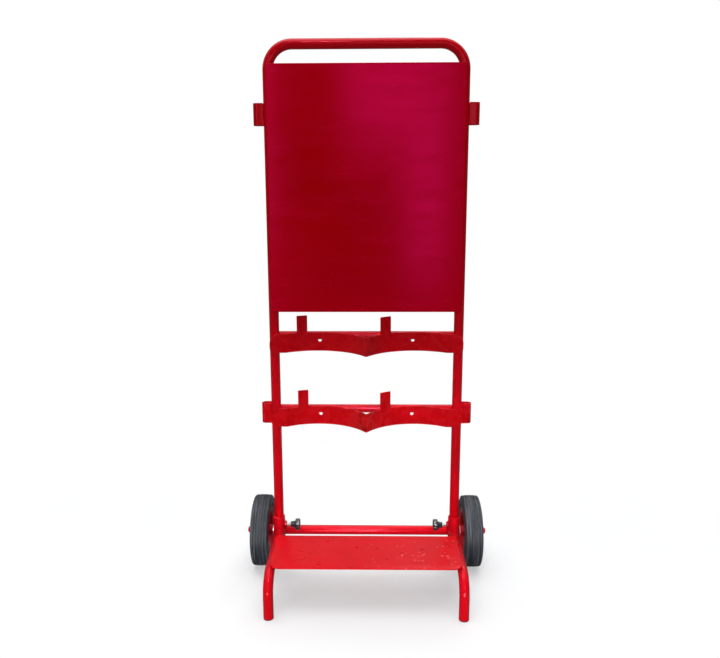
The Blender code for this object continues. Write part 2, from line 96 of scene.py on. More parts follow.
class Finish(Graph):
    # a material around one Principled shader; constants go straight on its sockets
    def __init__(self, name, constants):
        self.material = bpy.data.materials.new(name)
        self.material.use_nodes = True
        super().__init__(self.material.node_tree)
        self.shader = self.tree.nodes["Principled BSDF"]
        for socket, value in constants.items():
            self.shader.inputs[socket].default_value = value

    def place(self, scale=None):
        where = self.node("ShaderNodeTexCoord", out=3)
        if not scale:
            return where
        return self.node("ShaderNodeMapping", {}, {"Vector": where, "Scale": scale})

    def noise(self, scale, detail=2.0, roughness=0.5, where=None):
        sockets = {"Vector": where or self.place(), "Scale": scale, "Detail": detail, "Roughness": roughness}
        return self.node("ShaderNodeTexNoise", {}, sockets)

    def spots(self, scale, where=None, out=0):
        return self.node("ShaderNodeTexVoronoi", {}, {"Vector": where or self.place(), "Scale": scale}, out)

    def fit(self, value, low, high, newLow=0.0, newHigh=1.0):
        sockets = {0: value, 1: low, 2: high, 3: newLow, 4: newHigh}
        return self.node("ShaderNodeMapRange", {"clamp": True}, sockets)

    def blend(self, share, first, second):
        sockets = {"Factor": share, 6: first, 7: second}
        return self.node("ShaderNodeMix", {"data_type": "RGBA", "clamp_factor": True}, sockets, out=2)

    def bump(self, height, strength, distance, onto=None):
        sockets = {"Height": height, "Strength": strength, "Distance": distance}
        if onto:
            sockets["Normal"] = onto
        return self.node("ShaderNodeBump", {}, sockets)

    def facing(self, axis):
        # how far the surface faces along X, Y or Z, from -1 to 1
        normal = self.node("ShaderNodeNewGeometry", out=1)
        return self.node("ShaderNodeSeparateXYZ", {}, {0: normal}, out=axis)

    def paint(self, sockets):
        for name, value in sockets.items():
            self.feed(self.shader.inputs[name], value)
        return self.material


def colour(red, green, blue):
    return (red, green, blue, 1.0)


# ---- finishes

powderCoat = {
    "peelSize": 420.0,        # pattern repeats per metre
    "peelHeight": 0.00022,
    "dust": colour(0.640, 0.1100, 0.1100),
    "shine": colour(1.0, 0.13, 0.20),
}


def makePowderCoat(name, red, deepRed, peel=1.0, roughness=0.15, dust=0.0, grain=1.0):
    finish = Finish(name, {"IOR": 1.55, "Specular Tint": powderCoat["shine"]})
    cloudy = finish.noise(5.5, 3.0)
    tone = finish.blend(finish.fit(cloudy, 0.32, 0.68), deepRed, red)
    speckle = finish.fit(finish.noise(1900.0, 1.0), 0.62, 0.78)
    tone = finish.blend(speckle * (0.10 * grain), tone, colour(0.75, 0.06, 0.08))
    if dust:
        upward = finish.fit(finish.facing(2), 0.55, 0.98)
        patchy = finish.fit(finish.noise(16.0, 4.0, 0.65), 0.44, 0.72)
        tone = finish.blend(upward * patchy * dust, tone, powderCoat["dust"])
    smear = finish.noise(38.0, 3.0)
    peelWave = finish.noise(powderCoat["peelSize"], 2.0, 0.4)
    longWave = finish.noise(powderCoat["peelSize"] / 5, 1.0, 0.3)
    relief = finish.bump(peelWave, 0.55 * peel, powderCoat["peelHeight"])
    relief = finish.bump(longWave, 0.35 * peel, powderCoat["peelHeight"] * 3, relief)
    return finish.paint({
        "Base Color": tone,
        "Roughness": finish.fit(smear, 0.3, 0.7, roughness - 0.04, roughness + 0.07),
        "Normal": relief,
    })


def makeBoardCoat():
    # smooth sheet: long waves in the reflection, fine level orange peel
    finish = Finish("boardCoat", {"IOR": 1.90, "Specular Tint": colour(1.0, 0.01, 0.20)})
    cloudy = finish.noise(2.6, 2.0)
    deep, pale = colour(0.450, 0.0001, 0.0003), colour(0.510, 0.0002, 0.0006)
    tone = finish.blend(finish.fit(cloudy, 0.35, 0.68), deep, pale)
    wipe = finish.noise(9.0, 4.0, 0.6, finish.place((1.0, 1.0, 4.0)))
    fine = finish.bump(finish.noise(620.0, 1.0, 0.3), 0.25, 0.00010)
    waves = finish.bump(finish.noise(7.0, 1.0, 0.3), 0.30, 0.0020, fine)
    return finish.paint({
        "Base Color": tone,
        "Roughness": finish.fit(wipe, 0.35, 0.70, 0.20, 0.30),
        "Normal": waves,
    })


def makeTrayCoat():
    # thicker coat with pale pink specks painted into the colour as highlights and raised a little by the
    # bump, more towards one end
    finish = Finish("trayCoat", {"IOR": 1.40, "Specular Tint": colour(1.0, 0.08, 0.13)})
    cloudy = finish.noise(8.0, 4.0, 0.6)
    deep, pale = colour(0.600, 0.0022, 0.0060), colour(0.690, 0.0044, 0.0100)
    tone = finish.blend(finish.fit(cloudy, 0.3, 0.7), deep, pale)
    along = finish.node("ShaderNodeSeparateXYZ", {}, {0: finish.place()}, out=0)
    towardsEnd = finish.fit(along, -0.05, 0.14, 0.15, 1.0)
    speckDots = finish.fit(finish.spots(70.0), 0.10, 0.34, 1.0, 0.0)
    few = finish.fit(finish.noise(26.0, 2.0), 0.50, 0.60)
    glintSpecks = speckDots * few * towardsEnd
    # painted highlight: the pale pink specks are blended into the coat colour
    tone = finish.blend(glintSpecks * 0.40, tone, colour(0.95, 0.26, 0.25))
    scuffs = finish.fit(finish.noise(90.0, 5.0, 0.7, finish.place((1.0, 0.18, 1.0))), 0.60, 0.74)
    tone = finish.blend(scuffs * 0.14, tone, colour(0.42, 0.010, 0.020))
    peel = finish.bump(finish.noise(300.0, 2.0, 0.4), 0.5, 0.0003)
    lumps = finish.bump(glintSpecks, 0.8, 0.0008, peel)
    return finish.paint({
        "Base Color": tone,
        "Roughness": finish.fit(finish.noise(30.0, 3.0), 0.3, 0.7, 0.26, 0.40),
        "Normal": lumps,
    })


def makeTyreRubber():
    # pale bluish streaks are painted round the tread as highlights, broken up and slightly raised by the
    # bump
    finish = Finish("tyreRubber", {"IOR": 1.50})
    bands = finish.noise(1.0, 1.0, 0.3, finish.place((520.0, 9.0, 9.0)))
    highlightStreaks = finish.fit(bands, 0.50, 0.66)
    dusty = finish.fit(finish.noise(34.0, 4.0, 0.62), 0.40, 0.72)
    tone = finish.blend(dusty * 0.50, colour(0.009, 0.011, 0.016), colour(0.034, 0.041, 0.052))
    # painted highlight: pale streaks blended into the tread colour
    tone = finish.blend(highlightStreaks * 0.50, tone, colour(0.150, 0.160, 0.175))
    grit = finish.fit(finish.noise(900.0, 2.0), 0.60, 0.72)
    tone = finish.blend(grit * 0.30, tone, colour(0.120, 0.125, 0.130))
    pores = finish.bump(finish.noise(1300.0, 3.0, 0.6), 0.35, 0.00025)
    streakRelief = finish.bump(highlightStreaks, 0.30, 0.0004, pores)
    return finish.paint({
        "Base Color": tone,
        "Roughness": finish.fit(dusty, 0.0, 1.0, 0.42, 0.72),
        "Normal": streakRelief,
    })


def makeKnobPlastic():
    finish = Finish("knobPlastic", {"IOR": 1.48, "Coat Weight": 0.6, "Coat Roughness": 0.06})
    handled = finish.fit(finish.noise(120.0, 3.0), 0.38, 0.66)
    tone = finish.blend(handled, colour(0.010, 0.010, 0.011), colour(0.022, 0.022, 0.024))
    texture = finish.bump(finish.noise(2600.0, 2.0), 0.4, 0.00010)
    return finish.paint({
        "Base Color": tone,
        "Roughness": finish.fit(handled, 0.0, 1.0, 0.10, 0.24),
        "Normal": texture,
    })


def makeZincPlate():
    finish = Finish("zincPlate", {"Metallic": 1.0})
    stain = finish.fit(finish.noise(220.0, 3.0, 0.6), 0.35, 0.70)
    tone = finish.blend(stain, colour(0.74, 0.75, 0.78), colour(0.58, 0.56, 0.50))
    brushed = finish.noise(900.0, 2.0, 0.5, finish.place((0.05, 1.0, 1.0)))
    return finish.paint({
        "Base Color": tone,
        "Roughness": finish.fit(stain, 0.0, 1.0, 0.22, 0.42),
        "Normal": finish.bump(brushed, 0.3, 0.00008),
    })


def makeNylon():
    finish = Finish("naturalNylon", {"IOR": 1.53, "Subsurface Weight": 0.15})
    greased = finish.fit(finish.noise(160.0, 3.0), 0.45, 0.70)
    tone = finish.blend(greased * 0.6, colour(0.74, 0.72, 0.65), colour(0.30, 0.27, 0.22))
    return finish.paint({
        "Base Color": tone,
        "Roughness": finish.fit(greased, 0.0, 1.0, 0.50, 0.30),
        "Normal": finish.bump(finish.noise(1500.0, 2.0), 0.3, 0.0001),
    })


def makeFootPlastic():
    # insert that took some overspray, scuffed where it stands
    finish = Finish("footPlastic", {"IOR": 1.48})
    overspray = finish.fit(finish.noise(260.0, 3.0, 0.6), 0.36, 0.60)
    tone = finish.blend(overspray, colour(0.030, 0.006, 0.008), colour(0.240, 0.004, 0.012))
    scuffed = finish.fit(finish.noise(500.0, 4.0, 0.7), 0.58, 0.70)
    tone = finish.blend(scuffed * 0.5, tone, colour(0.09, 0.07, 0.07))
    return finish.paint({
        "Base Color": tone,
        "Roughness": finish.fit(scuffed, 0.0, 1.0, 0.45, 0.75),
        "Normal": finish.bump(finish.noise(700.0, 3.0), 0.4, 0.0002),
    })


# red, deep red, then peel, roughness and dust
powderReds = {
    "tube": ((0.560, 0.0012, 0.0060), (0.470, 0.0008, 0.0040)),
    "strap": ((0.480, 0.0006, 0.0030), (0.420, 0.0004, 0.0020), 1.0, 0.26),
    "weld": ((0.520, 0.0012, 0.0060), (0.430, 0.0008, 0.0040), 0.6, 0.22),
    "rim": ((0.500, 0.0020, 0.0070), (0.330, 0.0020, 0.0050), 1.3, 0.34, 0.5),
    "base": ((0.600, 0.0020, 0.0080), (0.510, 0.0014, 0.0060), 1.1, 0.13, 0.15),
}
coats = {
    name: makePowderCoat(name + "Coat", colour(*red), colour(*deepRed), *surface)
    for name, (red, deepRed, *surface) in powderReds.items()
}
coats.update({
    "board": makeBoardCoat(),
    "tray": makeTrayCoat(),
    "rubber": makeTyreRubber(),
    "knob": makeKnobPlastic(),
    "zinc": makeZincPlate(),
    "nylon": makeNylon(),
    "foot": makeFootPlastic(),
})
print("finishes made:", len(coats))


# ---- mesh helpers

def finishMesh(name, mesh, coat, sharpAngle=38.0):
    item = bpy.data.objects.new(name, mesh)
    bpy.context.scene.collection.objects.link(item)
    mesh.shade_smooth()
    mesh.set_sharp_from_angle(angle=math.radians(sharpAngle))
    mesh.materials.clear()
    mesh.materials.append(coats[coat])
    return item


def settle(item, body, slotName, *replaced):
    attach(item, body)
    if replaced:
        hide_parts(*replaced)
    return item


def addPiece(name, mesh, coat, body, slotName, *replaced):
    return settle(finishMesh(name, mesh, coat), body, slotName, *replaced)


def meshFrom(item):
    # plain mesh of an object as its modifiers leave it
    mesh = bpy.data.meshes.new_from_object(item.evaluated_get(bpy.context.evaluated_depsgraph_get()))
    data = item.data
    bpy.data.objects.remove(item, do_unlink=True)
    if isinstance(data, bpy.types.Curve):
        bpy.data.curves.remove(data)
    return mesh


def weldMesh(mesh, distance=1e-6):
    work = bmesh.new()
    work.from_mesh(mesh)
    bmesh.ops.remove_doubles(work, verts=work.verts, dist=distance)
    bmesh.ops.recalc_face_normals(work, faces=work.faces)
    work.to_mesh(mesh)
    work.free()
    return mesh


def filleted(corners, closed=False, steps=6):
    # (x, y, radius) corners as points, each corner that has a radius turned into an arc
    points = []
    count = len(corners)
    for index, (x, y, radius) in enumerate(corners):
        corner = Vector((x, y))
        if not radius or (not closed and index in (0, count - 1)):
            points.append(corner)
            continue
        back = (Vector(corners[index - 1][:2]) - corner).normalized()
        ahead = (Vector(corners[(index + 1) % count][:2]) - corner).normalized()
        halfAngle = back.angle(ahead) / 2
        if halfAngle > math.pi / 2 - 0.001:
            points.append(corner)
            continue
        centre = corner + (back + ahead).normalized() * radius / math.sin(halfAngle)
        start = corner + back * radius / math.tan(halfAngle) - centre
        finish = corner + ahead * radius / math.tan(halfAngle) - centre
        turn = start.angle_signed(finish)
        for step in range(steps + 1):
            angle = -turn * step / steps
            points.append(centre + Matrix.Rotation(angle, 2) @ start)
    return [tuple(point) for point in points]


def bentPath(corners, radius, steps=16):
    # 3D path of straight runs and arcs of one radius
    corners = [Vector(corner) for corner in corners]
    points = [corners[0]]
    for before, corner, after in zip(corners, corners[1:], corners[2:]):
        arrive = (corner - before).normalized()
        leave = (after - corner).normalized()
        turn = arrive.angle(leave)
        centre = corner + (leave - arrive).normalized() * radius / math.cos(turn / 2)
        start = corner - arrive * radius * math.tan(turn / 2) - centre
        axis = arrive.cross(leave).normalized()
        for step in range(steps + 1):
            points.append(centre + Matrix.Rotation(turn * step / steps, 3, axis) @ start)
    points.append(corners[-1])
    return points


def tubeMesh(name, points, radius, sides=48):
    curve = bpy.data.curves.new(name, "CURVE")
    curve.dimensions = "3D"
    spline = curve.splines.new("POLY")
    spline.points.add(len(points) - 1)
    for point, place in zip(spline.points, points):
        point.co = (*place, 1)
    curve.bevel_depth = radius
    curve.bevel_resolution = sides // 2 - 2
    curve.use_fill_caps = True
    item = bpy.data.objects.new(name, curve)
    bpy.context.scene.collection.objects.link(item)
    return weldMesh(meshFrom(item))


def latheMesh(name, profile, sides=64, closed=False):
    # turns (radius, height) points about Z; points on the axis close the ends
    mesh = bpy.data.meshes.new(name)
    work = bmesh.new()
    rings = []
    for radius, height in profile:
        if radius < 1e-7:
            rings.append([work.verts.new((0, 0, height))])
            continue
        ring = []
        for side in range(sides):
            angle = 2 * math.pi * side / sides
            ring.append(work.verts.new((radius * math.cos(angle), radius * math.sin(angle), height)))
        rings.append(ring)
    pairs = list(zip(rings, rings[1:]))
    if closed:
        pairs.append((rings[-1], rings[0]))
    for first, second in pairs:
        for side in range(sides):
            after = (side + 1) % sides
            if len(first) == 1:
                work.faces.new((first[0], second[after], second[side]))
            elif len(second) == 1:
                work.faces.new((first[side], first[after], second[0]))
            else:
                work.faces.new((first[side], first[after], second[after], second[side]))
    bmesh.ops.recalc_face_normals(work, faces=work.faces)
    work.to_mesh(mesh)
    work.free()
    return mesh


def plateMesh(name, loops, thickness, edge):
    # flat plate of outline and hole loops in local X and Y, with rounded edges
    curve = bpy.data.curves.new(name, "CURVE")
    curve.dimensions = "2D"
    curve.fill_mode = "BOTH"
    curve.extrude = thickness / 2 - edge
    curve.bevel_depth = edge
    curve.bevel_resolution = 2
    curve.offset = -edge
    for loop in loops:
        spline = curve.splines.new("POLY")
        spline.points.add(len(loop) - 1)
        for point, place in zip(spline.points, loop):
            point.co = (*place, 0, 1)
        spline.use_cyclic_u = True
    item = bpy.data.objects.new(name, curve)
    bpy.context.scene.collection.objects.link(item)
    return weldMesh(meshFrom(item))


def bendMesh(mesh, cuts, placeAt):
    # slices a flat plate across its length, then lays it along placeAt(x) = (point, front normal)
    work = bmesh.new()
    work.from_mesh(mesh)
    for cut in cuts:
        everything = work.verts[:] + work.edges[:] + work.faces[:]
        bmesh.ops.bisect_plane(work, geom=everything, plane_co=(cut, 0, 0), plane_no=(1, 0, 0))
    for vert in work.verts:
        point, normal = placeAt(vert.co.x)
        vert.co = (point.x + normal.x * vert.co.z, point.y + normal.y * vert.co.z, vert.co.y)
    bmesh.ops.recalc_face_normals(work, faces=work.faces)
    work.to_mesh(mesh)
    work.free()
    return mesh


def circleLoop(x, y, radius, sides=32):
    turns = [2 * math.pi * side / sides for side in range(sides)]
    return [(x + radius * math.cos(turn), y - radius * math.sin(turn)) for turn in turns]


def outward(side, x, y, z):
    # matrix that stands a turned piece on a spot with its +Z away from the truck's middle
    return Matrix.Translation((x, y, z)) @ Matrix.Rotation(side * math.pi / 2, 4, "Y")


def corners(node):
    low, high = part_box(node)
    return Vector(low), Vector(high)


def turned(node):
    # radius, length, inner face's distance from the middle plane, and centre of a piece turned about X
    low, high = corners(node)
    return (high.z - low.z) / 2, high.x - low.x, min(abs(low.x), abs(high.x)), (low + high) / 2


def sleeveRadiusOf(word):
    low, high = corners(word + "_sleeve")
    return (high.y - low.y) / 2


# ---- geometry node trees

def newTree(name, inputs):
    # group with a Geometry input and output, and the named inputs given as (name, socket type)
    tree = bpy.data.node_groups.new(name, "GeometryNodeTree")
    tree.interface.new_socket("Geometry", in_out="INPUT", socket_type="NodeSocketGeometry")
    for label, kind in inputs:
        tree.interface.new_socket(label, in_out="INPUT", socket_type="NodeSocket" + kind)
    tree.interface.new_socket("Geometry", in_out="OUTPUT", socket_type="NodeSocketGeometry")
    graph = Graph(tree)
    source = tree.nodes.new("NodeGroupInput")
    given = {socket.name: Wire(graph, socket) for socket in source.outputs if socket.name}
    return graph, given


def endTree(graph, geometry, finish):
    real = graph.node("GeometryNodeRealizeInstances", {}, {0: geometry})
    coated = graph.node("GeometryNodeSetMaterial", {}, {"Geometry": real, "Material": finish})
    target = graph.tree.nodes.new("NodeGroupOutput")
    graph.feed(target.inputs[0], coated)
    return graph.tree


def grow(name, mesh, tree, values):
    # runs a tree on a mesh and gives the plain mesh it makes
    item = bpy.data.objects.new(name, mesh)
    bpy.context.scene.collection.objects.link(item)
    modifier = item.modifiers.new(tree.name, "NODES")
    modifier.node_group = tree
    given = [part for part in tree.interface.items_tree if part.in_out == "INPUT"]
    identifiers = {part.name: part.identifier for part in given}
    for label, value in values.items():
        modifier[identifiers[label]] = value
    return meshFrom(item)


def weldBeadTree():
    # overlapping flattened drops along every edge path, like the ripples of a weld run
    graph, given = newTree("weldBead", [
        ("Bead Width", "Float"), ("Ripple Spacing", "Float"), ("Unevenness", "Float"),
        ("Seed", "Int"), ("Finish", "Material"),
    ])
    path = graph.node("GeometryNodeMeshToCurve", {}, {"Mesh": given["Geometry"]})
    run = graph.node("GeometryNodeResampleCurve", {"mode": "LENGTH"},
                     {"Curve": path, "Length": given["Ripple Spacing"]})
    tangent = graph.node("GeometryNodeInputTangent")
    turned = graph.node("FunctionNodeAlignRotationToVector", {"axis": "Z"}, {"Vector": tangent})
    least = 1.0 - given["Unevenness"]
    most = 1.0 + given["Unevenness"]
    wobble = graph.node("FunctionNodeRandomValue", {"data_type": "FLOAT"},
                        {2: least, 3: most, "Seed": given["Seed"]}, out=1)
    flat = graph.node("ShaderNodeCombineXYZ", {}, {0: 1.0, 1: 1.0, 2: 0.62})
    size = graph.node("ShaderNodeVectorMath", {"operation": "SCALE"}, {0: flat, "Scale": wobble})
    drop = graph.node("GeometryNodeMeshIcoSphere", {},
                      {"Radius": given["Bead Width"] * 0.5, "Subdivisions": 2})
    drops = graph.node("GeometryNodeInstanceOnPoints", {},
                       {"Points": run, "Instance": drop, "Rotation": turned, "Scale": size})
    return endTree(graph, drops, given["Finish"])


def ringTree():
    # copies of the given piece spaced evenly round the Z axis
    graph, given = newTree("ringOfPieces", [
        ("Count", "Int"), ("Circle Radius", "Float"), ("First Angle", "Float"), ("Finish", "Material"),
    ])
    circle = graph.node("GeometryNodeMeshCircle", {},
                        {"Vertices": given["Count"], "Radius": given["Circle Radius"]})
    place = graph.node("GeometryNodeInputPosition")
    turned = graph.node("FunctionNodeAlignRotationToVector", {"axis": "X"}, {"Vector": place})
    copies = graph.node("GeometryNodeInstanceOnPoints", {},
                        {"Points": circle, "Instance": given["Geometry"], "Rotation": turned})
    spin = graph.node("ShaderNodeCombineXYZ", {}, {2: given["First Angle"]})
    spun = graph.node("GeometryNodeTransform", {}, {"Geometry": copies, "Rotation": spin})
    return endTree(graph, spun, given["Finish"])


def threadTree():
    # a turned core with a helical ridge round it, up the Z axis from 0
    graph, given = newTree("screwThread", [
        ("Length", "Float"), ("Pitch", "Float"), ("Major Radius", "Float"), ("Finish", "Material"),
    ])
    depth = given["Pitch"] * 0.36
    root = given["Major Radius"] - depth
    turns = graph.node("ShaderNodeMath", {"operation": "DIVIDE"}, {0: given["Length"], 1: given["Pitch"]})
    helix = graph.node("GeometryNodeCurveSpiral", {}, {
        "Resolution": 20, "Rotations": turns, "Start Radius": root, "End Radius": root,
        "Height": given["Length"],
    })
    section = graph.node("GeometryNodeCurvePrimitiveCircle", {"mode": "RADIUS"},
                         {"Resolution": 4, "Radius": depth})
    ridge = graph.node("GeometryNodeCurveToMesh", {},
                       {"Curve": helix, "Profile Curve": section, "Fill Caps": True})
    core = graph.node("GeometryNodeMeshCylinder", {}, {
        "Vertices": 32, "Radius": root + depth * 0.2, "Depth": given["Length"],
    })
    halfway = graph.node("ShaderNodeCombineXYZ", {}, {2: given["Length"] * 0.5})
    lifted = graph.node("GeometryNodeTransform", {}, {"Geometry": core, "Translation": halfway})
    both = graph.node("GeometryNodeJoinGeometry", {}, {0: ridge})
    graph.tree.links.new(lifted.socket, both.socket.node.inputs[0])
    return endTree(graph, both, given["Finish"])


weldBead = weldBeadTree()
ringOfPieces = ringTree()
screwThread = threadTree()
print("geometry trees made")


# ---- measures taken from the frame

uprightLow, uprightHigh = corners("upright_frame")
tubeRadius = (uprightHigh.y - uprightLow.y) / 2
uprightX = uprightHigh.x - tubeRadius
uprightY = (uprightHigh.y + uprightLow.y) / 2
sides = ((-1, "left"), (1, "right"))
contactGap = 0.0003
weldedGap = 0.0002
studBore = 0.0043
bossOverlap = 0.010


# ---- upper frame

handleFrame = {"bendRadius": 0.060, "tubeSides": 56, "bendSteps": 24}


def makeUprightFrame():
    top = uprightHigh.z - tubeRadius
    foot = uprightLow.z
    path = bentPath([
        (-uprightX, uprightY, foot), (-uprightX, uprightY, top),
        (uprightX, uprightY, top), (uprightX, uprightY, foot),
    ], handleFrame["bendRadius"], handleFrame["bendSteps"])
    mesh = tubeMesh("uprightTube", path, tubeRadius, handleFrame["tubeSides"])
    addPiece("uprightTube", mesh, "tube", "upper_frame", "red_powder_coat", "upright_frame")


def makeCrossbars():
    for level in ("upper", "lower"):
        low, high = corners(level + "_crossbar")
        radius = (high.z - low.z) / 2
        y, z = (low.y + high.y) / 2, (low.z + high.z) / 2
        mesh = tubeMesh(level + "CrossTube", [(low.x, y, z), (high.x, y, z)], radius, 40)
        addPiece(level + "CrossTube", mesh, "tube", "upper_frame", "red_powder_coat", level + "_crossbar")


headerBoard = {"cornerRadius": 0.004, "edgeRadius": 0.0006}


def makeHeaderBoard():
    low, high = corners("header_board")
    size = high - low
    radius = headerBoard["cornerRadius"]
    outline = filleted([
        (low.x, 0, radius), (high.x, 0, radius), (high.x, size.z, radius), (low.x, size.z, radius),
    ], closed=True)
    mesh = plateMesh("headerSheet", [outline], size.y, headerBoard["edgeRadius"])
    upright = Matrix.Rotation(math.pi / 2, 4, "X")
    mesh.transform(Matrix.Translation((0, (low.y + high.y) / 2, low.z)) @ upright)
    addPiece("headerSheet", mesh, "board", "upper_frame", "board_red", "header_board")


cradle = {
    "height": 0.050, "thickness": 0.003, "edgeRadius": 0.0007,
    "bayCentre": 0.1275, "topCorner": 0.026, "bottomCorner": 0.012,
    "tabCentres": (-0.169, 0.0505), "tabWidth": 0.027, "tabCorner": 0.0012, "tabRoot": 0.0015,
    "holeCentre": 0.1225, "holeRise": 0.0290, "holeRadius": 0.0045,
    "cuspSoftness": 0.0014, "padSoftness": 0.0012, "slices": 150,
}


def cradleLine(node):
    # plan line of a strap's middle, as a function of x, fitted between the node's front and back
    low, high = corners(node)
    half = cradle["thickness"] / 2
    padY = uprightY - tubeRadius - contactGap - half
    deepest = high.y - half
    cusp = low.y + 2 * half
    sagitta = deepest - cusp
    radius = (cradle["bayCentre"] ** 2 + sagitta ** 2) / (2 * sagitta)

    def height(x):
        distance = math.sqrt(x * x + cradle["cuspSoftness"] ** 2)
        inside = max(radius ** 2 - (distance - cradle["bayCentre"]) ** 2, 0.0)
        arc = deepest - radius + math.sqrt(inside)
        if distance < cradle["bayCentre"]:
            return arc
        gap = arc - padY
        return (arc + padY + math.sqrt(gap * gap + cradle["padSoftness"] ** 2)) / 2

    return height


def makeCradle(level):
    node = level + "_cradle"
    low, high = corners(node)
    end = high.x
    height = cradle["height"]
    top = high.z - low.z
    outlineCorners = [(-end, 0, cradle["bottomCorner"]), (end, 0, cradle["bottomCorner"])]
    outlineCorners.append((end, height, cradle["topCorner"]))
    for centre in reversed(cradle["tabCentres"]):
        right = centre + cradle["tabWidth"] / 2
        left = centre - cradle["tabWidth"] / 2
        outlineCorners += [
            (right, height, cradle["tabRoot"]), (right, top, cradle["tabCorner"]),
            (left, top, cradle["tabCorner"]), (left, height, cradle["tabRoot"]),
        ]
    outlineCorners.append((-end, height, cradle["topCorner"]))
    loops = [filleted(outlineCorners, closed=True, steps=8)]
    for side in (-1, 1):
        loops.append(circleLoop(side * cradle["holeCentre"], cradle["holeRise"], cradle["holeRadius"]))
    mesh = plateMesh(level + "Strap", loops, cradle["thickness"], cradle["edgeRadius"])
    line = cradleLine(node)
    step = 0.0005

    def placeAt(x):
        slope = (line(x + step) - line(x - step)) / (2 * step)
        return Vector((x, line(x))), Vector((slope, -1)).normalized()

    cuts = [-end + 2 * end * index / cradle["slices"] for index in range(1, cradle["slices"])]
    cuts += [index * 0.0006 for index in range(-5, 6)]
    cuts += [side * (0.2107 + index * 0.001) for side in (-1, 1) for index in range(-3, 4)]
    bendMesh(mesh, cuts, placeAt)
    mesh.transform(Matrix.Translation((0, 0, low.z)))
    addPiece(level + "Strap", mesh, "strap", "upper_frame", "red_powder_coat", node)


sideLoop = {"thickness": 0.003, "bendRadius": 0.0105, "edgeRadius": 0.0007, "cornerRadius": 0.003}


def loopLine(side, low, high):
    # plan path of a loop strap's middle, by length: back leg, half turn, front leg
    half = sideLoop["thickness"] / 2
    radius = sideLoop["bendRadius"]
    backY = high.y - half
    reach = max(abs(low.x), abs(high.x))
    bendX = reach - half - radius
    startX = min(abs(low.x), abs(high.x))
    innerEdge = uprightY - (backY - 2 * radius + half)
    frontX = uprightX + math.sqrt(tubeRadius ** 2 - innerEdge ** 2) + 0.0004
    backLeg = bendX - startX
    turnLength = math.pi * radius
    length = backLeg + turnLength + bendX - frontX

    def placeAt(along):
        if along <= backLeg:
            point, normal = Vector((startX + along, backY)), Vector((0, 1))
        elif along <= backLeg + turnLength:
            angle = math.pi / 2 - (along - backLeg) / radius
            normal = Vector((math.cos(angle), math.sin(angle)))
            point = Vector((bendX, backY - radius)) + normal * radius
        else:
            point = Vector((bendX - (along - backLeg - turnLength), backY - 2 * radius))
            normal = Vector((0, -1))
        return Vector((side * point.x, point.y)), Vector((side * normal.x, normal.y))

    return length, placeAt, (backLeg, backLeg + turnLength)


def makeSideLoop(word, side, level):
    node = f"{word}_{level}_side_loop"
    low, high = corners(node)
    length, placeAt, turn = loopLine(side, low, high)
    radius = sideLoop["cornerRadius"]
    outline = filleted([
        (0, 0, 0), (length, 0, radius), (length, high.z - low.z, radius), (0, high.z - low.z, 0),
    ], closed=True)
    name = f"{word}{level.title()}Loop"
    mesh = plateMesh(name, [outline], sideLoop["thickness"], sideLoop["edgeRadius"])
    cuts = [turn[0] + (turn[1] - turn[0]) * index / 24 for index in range(25)]
    bendMesh(mesh, cuts, placeAt)
    mesh.transform(Matrix.Translation((0, 0, low.z)))
    addPiece(name, mesh, "strap", "upper_frame", "red_powder_coat", node)


makeUprightFrame()
makeCrossbars()
makeHeaderBoard()
for level in ("upper", "lower"):
    makeCradle(level)
    for side, word in sides:
        makeSideLoop(word, side, level)
print("upper frame made")


# ---- base

railTube = {"bendRadius": 0.050, "tubeSides": 48, "bendSteps": 20}
sleeve = {"edge": 0.0008, "lip": 0.003, "drain": 0.006}


def makeSleeve(word, side):
    node = word + "_sleeve"
    low, high = corners(node)
    outer = (high.y - low.y) / 2
    bore = tubeRadius + contactGap
    edge = sleeve["edge"]
    bottom, top = low.z, high.z
    profile = filleted([
        (sleeve["drain"], bottom, edge), (outer, bottom, edge), (outer, top, edge),
        (bore, top, edge), (bore, bottom + sleeve["lip"], 0), (sleeve["drain"], bottom + sleeve["lip"], 0),
    ], closed=True, steps=3)
    mesh = latheMesh(word + "Socket", profile, 56, closed=True)
    mesh.transform(Matrix.Translation((side * uprightX, uprightY, 0)))
    addPiece(word + "Socket", mesh, "base", "base", "red_powder_coat", node)


def makeClampBoss(word, side):
    # round boss whose back edge follows the sleeve
    node = word + "_clamp_boss"
    radius, _, face, centre = turned(node)
    sleeveRadius = sleeveRadiusOf(word)
    length = uprightX - face
    profile = filleted([
        (studBore, length - bossOverlap, 0), (studBore, 0, 0.0004),
        (radius, 0, 0.0010), (radius, length - bossOverlap, 0),
    ], steps=4)
    mesh = latheMesh(word + "ThreadedBoss", profile, 48, closed=True)
    for vert in mesh.vertices:
        if vert.co.z > 0.002:
            across = min(abs(vert.co.y), sleeveRadius)
            vert.co.z = length - math.sqrt(sleeveRadius ** 2 - across ** 2) - weldedGap
    mesh.transform(outward(side, side * face, uprightY, centre.z))
    addPiece(word + "ThreadedBoss", mesh, "base", "base", "red_powder_coat", node)


def makeSideRail(word, side):
    node = word + "_side_rail"
    low, high = corners(node)
    railZ = high.z - tubeRadius
    footY = low.y + tubeRadius
    sleeveRadius = sleeveRadiusOf(word)
    x = side * uprightX
    start = uprightY - sleeveRadius * 0.5
    path = bentPath([(x, start, railZ), (x, footY, railZ), (x, footY, low.z)],
                    railTube["bendRadius"], railTube["bendSteps"])
    mesh = tubeMesh(word + "RailTube", path, tubeRadius, railTube["tubeSides"])
    for vert in mesh.vertices:
        if abs(vert.co.y - start) < 1e-5:
            across = vert.co.x - x
            vert.co.y = uprightY - math.sqrt(sleeveRadius ** 2 - across ** 2) - weldedGap
    addPiece(word + "RailTube", mesh, "base", "base", "red_powder_coat", node)


